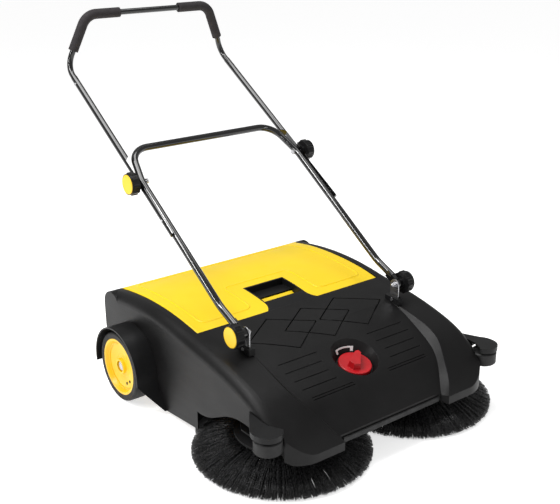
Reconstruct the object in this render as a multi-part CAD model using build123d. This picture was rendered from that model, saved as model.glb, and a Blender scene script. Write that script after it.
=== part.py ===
# Walk behind sweeper: a push machine with two front brush discs, driven by the two rear wheels
# through round belts, and a dirt container under the yellow lid. Millimetres, +Z up.
# The machine drives towards -Y. The origin is on the floor, below the middle of the whole machine.
# Every function makes one piece or one group of identical pieces.
import os
from math import acos, atan2, cos, degrees, hypot, pi, radians, sin

from build123d import *

# ---------------------------------------------------------------- driving dimensions
HALF_WIDTH = 345.0          # housing side wall, outer face
WALL = 4.0                  # moulded wall thickness
NOSE_Y = -541.0             # front of the two cheeks
PANEL_FRONT_Y = -516.0      # front edge of the middle panel
REAR_Y = 278.0              # back of the housing
SHOULDER_RADIUS = 26.0      # rounding between the top and the side walls
NOSE_CORNER_RADIUS = 92.0   # rounding of the nose in plan

LID_HALF = 305.0            # half width of the yellow lid
LID_FRONT_Y = -132.0
LID_GAP = 0.5               # air between the lid and the housing
LID_REAR_Y = 262.0
LID_WALL = 3.0
LID_BASE_Z = 231.0          # bottom edge of the lid's skirt
GRIP_HALF = 80.0            # half width of the notch for the grip insert
GRIP_BACK_Y = 4.0
TUB_HALF = 262.0
TUB_FRONT_Y = -50.0
TUB_FLOOR_Z = 14.0
TUB_WALL = 3.0
RAIL_TOP_Z = 226.0
RAIL_INNER_X = 283.0

AXLE_Y = 116.5
AXLE_Z = 95.5
AXLE_RADIUS = 8.0
TYRE_RADIUS = 95.5
RIM_RADIUS = 77.6
WHEEL_INNER_X = 352.0
WHEEL_OUTER_X = 400.0
HUB_RADIUS = 18.0
FENDER_RADIUS = 111.0       # outer face of the mudguard band
FENDER_OUTER_X = 407.0
FENDER_THICK = 4.0

BRUSH_X = 213.75
BRUSH_Y = -355.5
BRUSH_RADIUS = 213.4
BRUSH_PLATE_RADIUS = 118.0
SPINDLE_RADIUS = 7.0
BELT_RADIUS = 3.0
WHEEL_PULLEY_X = 326.0
WHEEL_PULLEY_PITCH = 50.0
BRUSH_PULLEY_Z = 105.0
BRUSH_PULLEY_PITCH = 30.0

GUIDE_X = 359.0             # wall guide rollers at the front corners
GUIDE_Y = -489.0
GUIDE_RADIUS = 33.5
GUIDE_LOW_Z = 117.0
GUIDE_TOP_Z = 151.0

PIVOT_Y = -259.5            # lower fold of the handle
PIVOT_Z = 291.0
TAB_X = 249.0               # steel tab that carries the lower fold
SOCKET_BOLT_Z = 250.8
SOCKET_HALF = 9.5           # half width of the moulded block round a tab's foot
JOINT_Y = 180.5             # upper fold of the handle
JOINT_Z = 570.0
KINK_Y = 571.5              # bend of the bow above the upper legs
KINK_Z = 819.0
LOWER_TUBE_RADIUS = 9.8
UPPER_TUBE_RADIUS = 9.3
TUBE_WALL = 1.0
LOWER_LEG_X = 262.5         # lower legs, from the lower fold to the upper fold
CROSSBAR_X = 238.0          # corners of the crossbar
UPPER_LEG_X = 267.5         # upper legs at the upper fold
PRESSED_X = 272.7           # inner face of the upper legs where they are pressed flat beside the lower legs
PRESSED_REACH = 76.0        # how far the pressed stretch runs on above the upper fold
KINK_X = 262.0
LEG_BEND_REACH = 95.0       # from the lower fold to the bend of the lower legs
LEG_DROP = 11.0             # how far that bend lies below the line through both folds
CROSSBAR_REACH = 114.0      # from the upper fold to the crossbar's centre line
BOW_Y = 549.0               # straight gripping bar of the bow
BOW_Z = 963.5
TAIL_REACH = 190.0          # how far the upper legs run on below the upper fold
GRIP_RADIUS = 14.0
KNOB_RADIUS = 30.0
KNOB_THICK = 26.0
LOWER_KNOB_X = 272.5        # inner face of the lower clamp knobs
UPPER_KNOB_X = 283.0        # inner face of the upper clamp knobs

DIAL_Y = -377.0
DIAL_Z = 196.0              # height of the panel's surface at the dial
DIAL_TILT = 14.0            # the dial leans towards the front by this angle
DIAL_DISH_RADIUS = 47.0     # floor of the conical dish
DIAL_DISH_FLARE = 0.62      # how fast the dish widens with height
DIAL_RADIUS = 43.0
RIDGE_TURN = 50.0           # the finger ridge of the dial points this far round from straight back
STEM_RADIUS = 8.0
BELT_JOINT = 0.25            # how far the rounded joints between the belt's runs stand proud
CASTOR_Y = -205.0
CASTOR_RADIUS = 27.0

GAP = 0.3                   # air between two parts that move past each other
FIT = 0.05                  # radial clearance of a running fit
SIDES = (("left", -1), ("right", 1))


# ---------------------------------------------------------------- helpers
def block(x0, x1, y0, y1, z0, z1):
    """A box given by its lowest and highest corners."""
    return Pos((x0 + x1) / 2, (y0 + y1) / 2, (z0 + z1) / 2) * Box(x1 - x0, y1 - y0, z1 - z0)


def rod_x(radius, x0, x1, y, z):
    """A cylinder along X."""
    return Pos((x0 + x1) / 2, y, z) * Rot(0, 90, 0) * Cylinder(radius, abs(x1 - x0))


def rod_z(radius, x, y, z0, z1):
    """A cylinder along Z."""
    return Pos(x, y, (z0 + z1) / 2) * Cylinder(radius, z1 - z0)


def hex_x(across, x0, x1, y, z):
    """A hexagonal bar along X, given by its size across the corners."""
    bar = extrude(RegularPolygon(across / 2, 6), x1 - x0)
    return Pos(x0, y, z) * Rot(0, 90, 0) * bar


def side_face(wire):
    """A face in the YZ plane from a closed outline drawn in (y, z)."""
    return Plane.YZ * make_face(wire)


def slab_x(face, x0, x1):
    """A YZ face pushed from x0 to x1."""
    return Pos(x0, 0, 0) * extrude(face, x1 - x0, dir=(1, 0, 0))


def turned(points):
    """A solid turned about Z from (radius, height) points."""
    face = make_face(Polyline(*points, close=True).edges())
    return revolve(Plane.XZ * face, Axis.Z)


def on_lower_line(reach):
    """A point (y, z) on the handle's lower line, measured from the lower fold."""
    angle = atan2(JOINT_Z - PIVOT_Z, JOINT_Y - PIVOT_Y)
    return PIVOT_Y + reach * cos(angle), PIVOT_Z + reach * sin(angle)


def save(name, *solids):
    """Write one node: every solid that belongs to it."""
    pieces = [piece for solid in solids for piece in solid.solids()]
    shape = pieces[0] if len(pieces) == 1 else Compound(children=pieces)
    export_step(shape, f"parts/{name}.step")


# ---------------------------------------------------------------- housing
# Height of the cheeks and shoulders along the machine, from the nose to the back (y, z).
CHEEK_LINE = [
    (NOSE_Y, 96.0), (-514.0, 130.0), (-476.0, 162.0), (-430.0, 193.0), (-347.0, 223.0),
    (-262.0, 241.0), (-137.0, 258.0), (-62.0, 268.5), (37.0, 275.0), (150.0, 270.0), (238.0, 258.0),
]
# Recess of the middle panel: y, floor height, half width at the floor, rise and run of its bevel.
PANEL_SECTIONS = [
    (-236.0, 246.0, 241.0, 1.0), (-275.0, 236.5, 240.5, 1.0), (-321.0, 221.0, 238.5, 1.0),
    (-376.0, 198.5, 233.0, 1.0), (-432.0, 173.0, 223.0, 1.0), (-467.0, 150.0, 207.0, 1.08),
    (-498.0, 119.0, 184.0, 1.12), (-525.0, 90.0, 166.0, 1.2), (-560.0, 50.0, 140.0, 1.3),
]
RECESS_TOP = 90.0           # how far the recess cutter reaches above its floor
POSTS = ((226.0, -466.0), (239.0, -246.0))      # screw posts under the deck (x, y)


def housing_outline(inset, floor):
    """Side view of the housing: the cheek line above, an open polygon below."""
    top = [(y + 0.7 * inset, z - inset) for y, z in CHEEK_LINE]
    back = REAR_Y - inset
    crown = Spline(*top)
    end = top[-1]
    rear = ThreePointArc(end, (back - 9, 243 - inset), (back, 214 - inset))
    low = Polyline((back, 214 - inset), (back - 1, 150), (back - 14, 60), *floor, top[0])
    return side_face([crown, rear, *low.edges()])


def housing_block(inset):
    """Outer (inset 0) or inner volume of the housing."""
    half = HALF_WIDTH - inset
    if inset == 0:
        arch = Spline((-182, 75), (-250, 88), (-317, 121), (-391, 131), (-450, 118), (-505, 84))
        floor = [(236, 34), (-25, 10), (-157, 22), (-182, 24), (-182, 75)]
        top = [(y, z) for y, z in CHEEK_LINE]
        crown = Spline(*top)
        rear = ThreePointArc(top[-1], (REAR_Y - 9, 243), (REAR_Y, 214))
        low = Polyline((REAR_Y, 214), (REAR_Y - 1, 150), (REAR_Y - 14, 60), *floor)
        front = Polyline((-505, 84), (-520, 75), (NOSE_Y, 74), top[0])
        face = side_face([crown, rear, *low.edges(), arch, *front.edges()])
    else:
        face = housing_outline(inset, [(220, -20), (NOSE_Y + inset, -20)])
    solid = slab_x(face, -half, half)
    top_edges = [e for e in solid.edges() if abs(abs(e.center().X) - half) < 0.01 and e.length > 300
                 and e.center().Z > 150]
    solid = fillet(top_edges, SHOULDER_RADIUS - 0.8 * inset)
    corner = NOSE_CORNER_RADIUS - inset
    plan = RectangleRounded(2 * half, 1400, corner)
    solid = solid & extrude(Pos(0, NOSE_Y + inset + 700, -30) * plan, 400)
    return solid - panel_recess(inset) - panel_notch(inset)


def panel_recess(inset):
    """Cutter for the sunk middle panel, with sloping sides."""
    sections = []
    for y, floor_z, half, slope in PANEL_SECTIONS:
        low = floor_z - inset
        wide = half + 0.4 * inset
        outer = wide + RECESS_TOP / slope
        corners = [(-wide, low), (wide, low), (outer, low + RECESS_TOP), (-outer, low + RECESS_TOP)]
        plane = Plane(origin=(0, y + 0.3 * inset, 0), x_dir=(1, 0, 0), z_dir=(0, -1, 0))
        sections.append(plane * make_face(Polyline(*corners, close=True).edges()))
    return loft(sections)


def panel_notch(inset):
    """Cutter that sets the middle panel's front edge back between the two cheeks."""
    edge = PANEL_FRONT_Y + inset
    half = 167.0 + inset
    corners = [(-half, edge), (half, edge), (half + 14, NOSE_Y - 20), (-half - 14, NOSE_Y - 20)]
    return Pos(0, 0, -40) * extrude(make_face(Polyline(*corners, close=True).edges()), 240)


def dial_frame(lift=0.0):
    """The tilted frame of the dial: its floor is sunk below the panel."""
    return Pos(0, DIAL_Y, DIAL_Z - 24) * Rot(DIAL_TILT, 0, 0) * Pos(0, 0, lift)


def dish_cone(low_radius):
    """Cone that widens upwards from the floor of the dial's dish."""
    height = 70.0
    top_radius = low_radius + DIAL_DISH_FLARE * height
    return Pos(0, 0, height / 2) * Cone(low_radius, top_radius, height)


def panel_height(y):
    """Height of the middle panel's surface at y."""
    rows = [(-132.0, 257.5), (-236.0, 243.0)] + [(p[0], p[1]) for p in PANEL_SECTIONS[1:]]
    for (y1, z1), (y0, z0) in zip(rows, rows[1:]):
        if y0 <= y <= y1:
            return z0 + (z1 - z0) * (y - y0) / (y1 - y0)
    return rows[-1][1]


def groove_run(p, q, depth=2.2, width=3.4, steps=2):
    """A straight groove cutter along the panel between two plan points."""
    cutters = []
    for i in range(steps):
        a = [p[k] + (q[k] - p[k]) * i / steps for k in (0, 1)]
        b = [p[k] + (q[k] - p[k]) * (i + 1) / steps for k in (0, 1)]
        start = Vector(a[0], a[1], panel_height(a[1]))
        end = Vector(b[0], b[1], panel_height(b[1]))
        along = end - start
        middle = (start + end) / 2
        plane = Plane(origin=middle, x_dir=along, z_dir=along.cross(Vector(0, 0, 1)).cross(along))
        cutters.append(plane * Box(along.length + 1.5, width, 2 * depth))
    return cutters


def panel_grooves():
    """Three overlapping diamonds and the groups of cross lines beside the dial."""
    cutters = []
    for centre in (-114.0, 0.0, 114.0):
        tips = [(centre - 108, -233), (centre, -163), (centre + 108, -233), (centre, -303)]
        for p, q in zip(tips, tips[1:] + tips[:1]):
            cutters += groove_run(p, q)
    for _, s in SIDES:
        for y, inner, outer in ((-330, 84, 205), (-358, 92, 205), (-386, 96, 200), (-412, 90, 196)):
            cutters += groove_run((s * inner, y), (s * outer, y), depth=1.2, width=2.6, steps=1)
        for y in (-437, -443):
            cutters += groove_run((s * 58, y), (s * 188, y), depth=1.6, width=2.2, steps=1)
    return cutters


def housing():
    """The moulded upper shell with its rails, bulkhead, wheel webs and dial dish."""
    outer = housing_block(0)
    shell = outer - housing_block(WALL)
    pockets = [rod_z(GUIDE_RADIUS + 8, s * GUIDE_X, GUIDE_Y, 78, 260) for _, s in SIDES]
    dish = dial_frame(-4) * dish_cone(DIAL_DISH_RADIUS + 5)
    inner_zone = outer & (pockets[0] + pockets[1] + dish)
    shell = shell + inner_zone
    bulkhead = block(-341.5, 341.5, LID_FRONT_Y - 4, LID_FRONT_Y, 140, 300)
    shell = shell + (bulkhead & outer)
    for _, s in SIDES:
        rail = block(min(s * RAIL_INNER_X, s * 342), max(s * RAIL_INNER_X, s * 342),
                     LID_FRONT_Y - 2, LID_REAR_Y - 2, RAIL_TOP_Z - 8, RAIL_TOP_Z)
        web = block(min(s * 307, s * 313), max(s * 307, s * 313), AXLE_Y - 28, AXLE_Y + 28,
                    AXLE_Z - 26, RAIL_TOP_Z - 4)
        boss = rod_x(15, s * 303, s * 313, AXLE_Y, AXLE_Z)
        shell = shell + rail + web + boss
        shell = shell - rod_z(GUIDE_RADIUS + 4, s * GUIDE_X, GUIDE_Y, 60, GUIDE_TOP_Z + 3)
        shell = shell - rod_x(AXLE_RADIUS, s * 296, s * 330, AXLE_Y, AXLE_Z)
        shell = shell - rod_x(HUB_RADIUS + 2.5, s * 335, s * 352, AXLE_Y, AXLE_Z)
        for x, y in POSTS:
            post = rod_z(7, s * x, y, 84.2, 300) & outer
            shell = shell + post - rod_z(2.1, s * x, y, 70, 104)
    shell = shell - dial_frame() * dish_cone(DIAL_DISH_RADIUS)
    shell = shell - dial_frame() * Cylinder(STEM_RADIUS + 1, 40)
    lid_bay = block(-LID_HALF - 0.8, LID_HALF + 0.8, LID_FRONT_Y + 0.01, 300, RAIL_TOP_Z + 0.01, 320)
    back_bay = block(-304, 304, 240, 300, -30, RAIL_TOP_Z + 1)
    middle_bay = block(-RAIL_INNER_X, RAIL_INNER_X, LID_FRONT_Y + 0.01, 300, 215, 240)
    shell = shell - lid_bay - back_bay - middle_bay
    return shell - panel_grooves()


def base_plate():
    """Lower plate behind the nose: it carries the two brush bushes and the castor guide."""
    corners = [(-318, -420), (-290, -480), (-240, -502), (240, -502), (290, -480), (318, -420),
               (318, -330), (250, -222), (-250, -222), (-318, -330)]
    plate = Pos(0, 0, 80) * extrude(make_face(Polyline(*corners, close=True).edges()), 4)
    for _, s in SIDES:
        plate = plate - rod_z(12, s * BRUSH_X, BRUSH_Y, 60, 100)
        for x, y in POSTS:
            plate = plate - rod_z(2.6, s * x, y, 60, 100)
    return plate - block(-15, 15, -400, -215, 70, 90) - rod_z(24, 0, DIAL_Y, 60, 100)


def housing_screws():
    """Four screws that hold the base plate to the posts of the housing."""
    screws = []
    for _, s in SIDES:
        for x, y in POSTS:
            head = rod_z(5.5, s * x, y, 76.4, 79.8)
            screws.append(head + rod_z(2.0, s * x, y, 79, 100))
    return screws


def front_lip():
    """Soft strip under the middle panel's front edge."""
    strip = block(-160, 160, PANEL_FRONT_Y - 5, PANEL_FRONT_Y - 0.3, 78, 92)
    return fillet(strip.edges().filter_by(Axis.X), 2.0)


def fender(s):
    """Mudguard band over a wheel, with a tail that runs down to the side wall's lower edge."""
    start = radians(-10)
    outer_end = (AXLE_Y - FENDER_RADIUS, AXLE_Z)
    inner_radius = FENDER_RADIUS - FENDER_THICK
    inner_end = (AXLE_Y - inner_radius, AXLE_Z)
    outer_start = (AXLE_Y + FENDER_RADIUS * cos(start), AXLE_Z + FENDER_RADIUS * sin(start))
    inner_start = (AXLE_Y + inner_radius * cos(start), AXLE_Z + inner_radius * sin(start))
    top_outer = (AXLE_Y + FENDER_RADIUS * cos(1.3), AXLE_Z + FENDER_RADIUS * sin(1.3))
    top_inner = (AXLE_Y + inner_radius * cos(1.3), AXLE_Z + inner_radius * sin(1.3))
    tail_outer = Spline(outer_end, (-4, 55), (-36, 12), tangents=[(0, -1), (-0.8, -1)])
    tail_inner = Spline(inner_end, (0, 54), (-30, 11), tangents=[(0, -1), (-0.8, -1)])
    edges = [
        ThreePointArc(outer_start, top_outer, outer_end), tail_outer, Line((-36, 12), (-30, 11)),
        tail_inner, ThreePointArc(inner_end, top_inner, inner_start), Line(inner_start, outer_start),
    ]
    band = slab_x(side_face(edges), HALF_WIDTH + 0.0, FENDER_OUTER_X)
    corners = [(HALF_WIDTH + 3, 8), (FENDER_OUTER_X + 1, 82), (FENDER_OUTER_X + 40, 82),
               (FENDER_OUTER_X + 40, -10), (HALF_WIDTH + 3, -10)]
    taper = Plane.XZ * make_face(Polyline(*corners, close=True).edges())
    band = band - Pos(0, 100, 0) * extrude(taper, 200)
    web = slab_x(side_face([ThreePointArc(outer_start, top_outer, outer_end),
                            Line(outer_end, outer_start)]), HALF_WIDTH, HALF_WIDTH + 3)
    web = web - rod_x(HUB_RADIUS + 2.5, 330, 360, AXLE_Y, AXLE_Z)
    solid = band + (web & block(340, 360, -50, 300, AXLE_Z - 10, 300))
    if s < 0:
        solid = mirror(solid, about=Plane.YZ)
    return solid


def guide_cover(s):
    """Horn that sweeps off the side wall and covers a wall guide roller."""
    low = GUIDE_TOP_Z + 4
    disc = rod_z(GUIDE_RADIUS + 1.5, GUIDE_X, GUIDE_Y, low, low + 14)
    plan = make_face([
        Line((HALF_WIDTH + 0.3, -402), (HALF_WIDTH + 0.3, -500)),
        Line((HALF_WIDTH + 0.3, -500), (GUIDE_X + 20, -515)),
        ThreePointArc((GUIDE_X + 20, -515), (GUIDE_X + 36, -485), (GUIDE_X + 24, -455)),
        Spline((GUIDE_X + 24, -455), (GUIDE_X + 4, -425), (HALF_WIDTH + 0.3, -402)),
    ])
    wing = Pos(0, 0, low) * extrude(plan, 40)
    rise = make_face([
        Line((-560, low), (-380, low)), Line((-380, low), (-380, low + 21)),
        Spline((-380, low + 21), (-404, low + 19), (-440, low + 15), (-480, low + 13.5), (-560, low + 14)),
        Line((-560, low + 14), (-560, low)),
    ])
    wing = wing & slab_x(Plane.YZ * rise, 300, 450)
    solid = disc + wing
    hollow = rod_z(GUIDE_RADIUS - 2, GUIDE_X, GUIDE_Y, low - 1, low + 9)
    solid = solid - hollow + rod_z(7, GUIDE_X, GUIDE_Y, low, low + 11)
    solid = solid - block(300, HALF_WIDTH + 0.25, -474, -380, 100, 220)
    corner = block(0, HALF_WIDTH + 0.2, NOSE_Y, 0, 100, 220)
    corner = corner & Pos(0, NOSE_Y + 700, 0) * extrude(
        RectangleRounded(2 * HALF_WIDTH + 0.4, 1400, NOSE_CORNER_RADIUS), 300)
    solid = solid - corner - rod_z(3.0, GUIDE_X, GUIDE_Y, low - 5, low + 9)
    if s < 0:
        solid = mirror(solid, about=Plane.YZ)
    return solid


def guide_roller(s):
    """Soft roller that runs along walls."""
    r = GUIDE_RADIUS
    solid = turned([(3.05, 0), (r - 3, 0), (r, 3), (r, GUIDE_TOP_Z - GUIDE_LOW_Z - 3),
                    (r - 3, GUIDE_TOP_Z - GUIDE_LOW_Z), (3.05, GUIDE_TOP_Z - GUIDE_LOW_Z)])
    return Pos(s * GUIDE_X, GUIDE_Y, GUIDE_LOW_Z) * solid


def guide_pins():
    """The two pins on which the guide rollers turn."""
    pins = []
    for _, s in SIDES:
        shank = rod_z(3.0, s * GUIDE_X, GUIDE_Y, GUIDE_LOW_Z - 2, GUIDE_TOP_Z + 13)
        pins.append(shank + rod_z(8.0, s * GUIDE_X, GUIDE_Y, GUIDE_LOW_Z - 5, GUIDE_LOW_Z - 0.6))
    return pins


# ---------------------------------------------------------------- handle brackets
def brackets():
    """Two steel tabs that stand on the deck and carry the handle's lower fold."""
    tabs = []
    for _, s in SIDES:
        x = s * TAB_X
        tab = block(x - 1.5, x + 1.5, PIVOT_Y - 15, PIVOT_Y + 15, 246.5, PIVOT_Z)
        tab = tab + rod_x(15, x - 1.5, x + 1.5, PIVOT_Y, PIVOT_Z)
        tab = tab - rod_x(4.0, x - 5, x + 5, PIVOT_Y, PIVOT_Z)
        tabs.append(tab - rod_x(2.5, x - 5, x + 5, PIVOT_Y, SOCKET_BOLT_Z))
    return tabs


def bracket_sockets():
    """Moulded blocks on the deck that hold the feet of the tabs."""
    blocks = []
    y0, y1 = PIVOT_Y - 24, PIVOT_Y + 26
    profile = [(y0, 238.2), (y1, 246.2), (y1, 257.5), (y0, 255.5)]
    face = side_face(Polyline(*profile, close=True).edges())
    for _, s in SIDES:
        x = s * TAB_X
        solid = slab_x(face, x - SOCKET_HALF, x + SOCKET_HALF)
        slot = block(x - 1.5, x + 1.5, PIVOT_Y - 15, PIVOT_Y + 15, 246.5, 300)
        blocks.append(solid - slot - rod_x(2.5, x - 20, x + 20, PIVOT_Y, SOCKET_BOLT_Z))
    return blocks


def socket_bolts():
    """Cross bolts through the sockets and the feet of the tabs."""
    bolts = []
    for _, s in SIDES:
        x = s * TAB_X
        bolt = rod_x(2.5, x - SOCKET_HALF, x + SOCKET_HALF, PIVOT_Y, SOCKET_BOLT_Z)
        for a, b in ((x - SOCKET_HALF - 2.5, x - SOCKET_HALF), (x + SOCKET_HALF, x + SOCKET_HALF + 2.5)):
            bolt = bolt + rod_x(4.4, a, b, PIVOT_Y, SOCKET_BOLT_Z)
        bolts.append(bolt)
    return bolts


def pivot_bolts():
    """Cap-nut bolts of the lower fold."""
    bolts = []
    for _, s in SIDES:
        shank = rod_x(4.0, s * 246, s * 288, PIVOT_Y, PIVOT_Z)
        head = hex_x(15, -3.5, 3.5, 0, 0)
        head = Pos(s * 243.5, PIVOT_Y, PIVOT_Z) * head
        dome = Pos(s * 240, PIVOT_Y, PIVOT_Z) * Sphere(5.5)
        bolts.append(shank + head + dome)
    return bolts


# ---------------------------------------------------------------- container
def lid_line(inset):
    """Arched top of the lid in side view."""
    points = [(LID_FRONT_Y + LID_GAP + inset, 257.5), (-62, 269.5), (37.5, 276), (177.5, 270), (236, 260)]
    return [(y, z - inset) for y, z in points]


def lid_block(inset, base, rounding):
    """Outer or inner volume of the lid."""
    points = lid_line(inset)
    back = LID_REAR_Y - inset
    edges = [Spline(*points), ThreePointArc(points[-1], (back - 6, 250 - inset), (back, 236))]
    rest = Polyline((back, 236), (back, base), (points[0][0], base), points[0])
    face = side_face([*edges, *rest.edges()])
    half = LID_HALF - inset
    solid = slab_x(face, -half, half)
    rim = [e for e in solid.edges() if abs(abs(e.center().X) - half) < 0.01 and e.length > 300
           and e.center().Z > 245]
    return fillet(rim, rounding) if rounding > 0 else solid


def grip_outline(extra):
    """Plan outline of the notch in the lid's front edge, with flared front corners."""
    half = GRIP_HALF - 12 + extra
    flare = GRIP_HALF + 6 + extra
    front = LID_FRONT_Y - 20
    back = GRIP_BACK_Y + extra
    return make_face([
        Line((-half, -95), (-half, back)), Line((-half, back), (half, back)), Line((half, back), (half, -95)),
        ThreePointArc((half, -95), (half + 5, -116), (flare, -132)), Line((flare, -132), (flare, front)),
        Line((flare, front), (-flare, front)), Line((-flare, front), (-flare, -132)),
        ThreePointArc((-flare, -132), (-half - 5, -116), (-half, -95)),
    ])


def container_lid():
    """Yellow lid with a notch at the middle of its front edge."""
    shell = lid_block(0, LID_BASE_Z, 5.0) - lid_block(LID_WALL, LID_BASE_Z - 5, 2.0)
    shell = shell - Pos(0, 0, 200) * extrude(grip_outline(0), 120)
    ring = grip_outline(2.5) & (Pos(0, LID_FRONT_Y + LID_GAP + 100) * Rectangle(400, 200))
    pocket = Pos(0, 0, LID_BASE_Z + 0.5) * extrude(ring, 60)
    pocket = pocket & lid_block(0, LID_BASE_Z, 0)
    well = Pos(0, 0, LID_BASE_Z + 3) * extrude(grip_outline(0), 120)
    ramp = side_face(Polyline((-89.5, 231.5), (-46, 231.5), (-46, 252), (-89.5, 236), close=True).edges())
    return shell + (pocket - well) + slab_x(ramp, -62, 62)


def grip_insert():
    """Black handle insert in the lid's notch, with a finger opening behind its front bar."""
    outline = grip_outline(-0.4) & (Pos(0, -60) * Rectangle(400, 2 * 71.5))
    top = lid_block(0, 240, 0) & (Pos(0, 0, 200) * extrude(outline, 120))
    hollow = block(-GRIP_HALF + 16, GRIP_HALF - 16, -90, GRIP_BACK_Y - 5, 200, 300)
    ledge = block(-GRIP_HALF + 16, GRIP_HALF - 16, -44, GRIP_BACK_Y - 5, 246, 256)
    solid = top - hollow + ledge
    return solid - block(-GRIP_HALF + 17, GRIP_HALF - 17, -130, -92, 239, 250)


def container_tub():
    """Dirt container: open at the front and above, with side flanges on the rails."""
    w = TUB_WALL
    body = block(-TUB_HALF, TUB_HALF, TUB_FRONT_Y, LID_REAR_Y, TUB_FLOOR_Z, 230.5)
    hollow = block(-TUB_HALF + w, TUB_HALF - w, TUB_FRONT_Y + w, LID_REAR_Y - w, TUB_FLOOR_Z + w, 240)
    mouth = block(-TUB_HALF + w, TUB_HALF - w, TUB_FRONT_Y - 5, TUB_FRONT_Y + 10, TUB_FLOOR_Z + 10, 150)
    flanges = block(-LID_HALF + 2, LID_HALF - 2, LID_FRONT_Y + 3, LID_REAR_Y, RAIL_TOP_Z + 0.5, 230.5)
    flanges = flanges - block(-TUB_HALF + w, TUB_HALF - w, TUB_FRONT_Y + w, LID_REAR_Y - w, 200, 240)
    flanges = flanges - block(-TUB_HALF - 10, TUB_HALF + 10, LID_FRONT_Y - 3, TUB_FRONT_Y, 200, 240)
    panel = block(-303, 303, LID_REAR_Y - 2, LID_REAR_Y + 3, 40, 230.5)
    solid = body + flanges - hollow - mouth + panel
    for x in (-130, 0, 130):
        solid = solid + block(x - 2, x + 2, LID_REAR_Y + 2, LID_REAR_Y + 6, 60, 210)
    return solid


def tub_lip():
    """Rubber strip that closes the gap between the container's mouth and the floor."""
    return block(-TUB_HALF + 4, TUB_HALF - 4, TUB_FRONT_Y - 4, TUB_FRONT_Y, 3, 24)


# ---------------------------------------------------------------- wheels and brushes
def stub_axles():
    """Fixed axles, one per wheel, held in the webs of the housing."""
    axles = []
    for _, s in SIDES:
        shaft = rod_x(AXLE_RADIUS, s * 303, s * 392, AXLE_Y, AXLE_Z)
        head = rod_x(13, s * 298, s * 303, AXLE_Y, AXLE_Z)
        axles.append(shaft + head)
    return axles


def axle_nuts():
    """Push-on nuts that keep the wheels on their axles."""
    nuts = []
    for _, s in SIDES:
        ring = rod_x(12, s * 388.4, s * 391.4, AXLE_Y, AXLE_Z)
        nuts.append(ring - rod_x(AXLE_RADIUS, s * 380, s * 400, AXLE_Y, AXLE_Z))
    return nuts


def wheel_turned(points, s):
    """Turn (radius, x) points about the wheel's axis on the chosen side."""
    face = make_face(Polyline(*[(x, r) for r, x in points], close=True).edges())
    solid = Pos(0, AXLE_Y, AXLE_Z) * revolve(Plane.XZ * face, Axis.X)
    return mirror(solid, about=Plane.YZ) if s < 0 else solid


def tyre(s):
    """Solid rubber tyre with rounded shoulders."""
    r = TYRE_RADIUS
    inner = RIM_RADIUS
    a, b = WHEEL_INNER_X, WHEEL_OUTER_X
    return wheel_turned([(inner, a + 1), (r - 5, a), (r - 1.5, a + 2), (r, a + 6), (r, b - 6),
                         (r - 1.5, b - 2), (r - 5, b), (inner, b - 1)], s)


def rim(s):
    """Yellow rim: a dished disc with a long hub that runs through the side wall."""
    bore = AXLE_RADIUS + FIT
    a, b = WHEEL_INNER_X, WHEEL_OUTER_X
    points = [
        (bore, 315), (HUB_RADIUS, 315), (HUB_RADIUS, 374), (60, 374), (70, 370), (70, a + 2),
        (RIM_RADIUS, a + 2), (RIM_RADIUS, b - 1), (72, b - 1), (70, b - 4), (66, b - 10),
        (34, b - 16), (22, b - 13), (20, b - 5), (16, b - 5), (16, 388), (bore, 388),
    ]
    return wheel_turned(points, s)


def pulley_outline(pitch, bore, middle, half_width):
    """Section of a round-belt pulley: (radius, place) points about its middle plane."""
    low = pitch - BELT_RADIUS - GAP
    lip = pitch + 2.5
    floor = BELT_RADIUS + GAP
    return [
        (bore, middle - half_width), (lip, middle - half_width), (lip, middle - half_width + 1.2),
        (low + 0.4, middle - floor), (low, middle - 1.5), (low, middle + 1.5), (low + 0.4, middle + floor),
        (lip, middle + half_width - 1.2), (lip, middle + half_width), (bore, middle + half_width),
    ]


def wheel_pulley(s):
    """Grooved pulley on the inner end of the wheel hub."""
    return wheel_turned(pulley_outline(WHEEL_PULLEY_PITCH, HUB_RADIUS, WHEEL_PULLEY_X, 11.0), s)


def bristles(s):
    """Bristle ring: the envelope of the tufts, from the plate out to the floor."""
    ring = turned([(88, 57.5), (114, 57.5), (200, 34), (BRUSH_RADIUS, 22), (BRUSH_RADIUS, 0),
                   (176, 0), (92, 42)])
    return Pos(s * BRUSH_X, BRUSH_Y, 0) * ring


def brush_plate(s):
    """Moulded disc that holds the bristles."""
    plate = turned([(0, 57.5), (BRUSH_PLATE_RADIUS, 57.5), (BRUSH_PLATE_RADIUS, 63),
                    (30, 67), (24, 73), (0, 73)])
    plate = Pos(s * BRUSH_X, BRUSH_Y, 0) * plate
    return plate - rod_z(SPINDLE_RADIUS, s * BRUSH_X, BRUSH_Y, 62, 90)


def brush_spindle(s):
    """Upright shaft between the brush plate and its pulley."""
    return rod_z(SPINDLE_RADIUS, s * BRUSH_X, BRUSH_Y, 62, 118)


def brush_pulley(s):
    """Grooved pulley at the top of the spindle."""
    pulley = turned(pulley_outline(BRUSH_PULLEY_PITCH, SPINDLE_RADIUS, BRUSH_PULLEY_Z, 9.0))
    return Pos(s * BRUSH_X, BRUSH_Y, 0) * pulley


def brush_bushes():
    """Flanged bushes in the base plate, one per spindle."""
    bushes = []
    for _, s in SIDES:
        bush = rod_z(12, s * BRUSH_X, BRUSH_Y, 76, 92) + rod_z(18, s * BRUSH_X, BRUSH_Y, 84, 87)
        bushes.append(bush - rod_z(SPINDLE_RADIUS + FIT, s * BRUSH_X, BRUSH_Y, 70, 96))
    return bushes


def tangent_angles(centre, radius, point):
    """Angles of the two places on a circle where lines from a point touch it."""
    dx, dy = point[0] - centre[0], point[1] - centre[1]
    aim = atan2(dy, dx)
    half = acos(radius / hypot(dx, dy))
    return aim - half, aim + half


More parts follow.
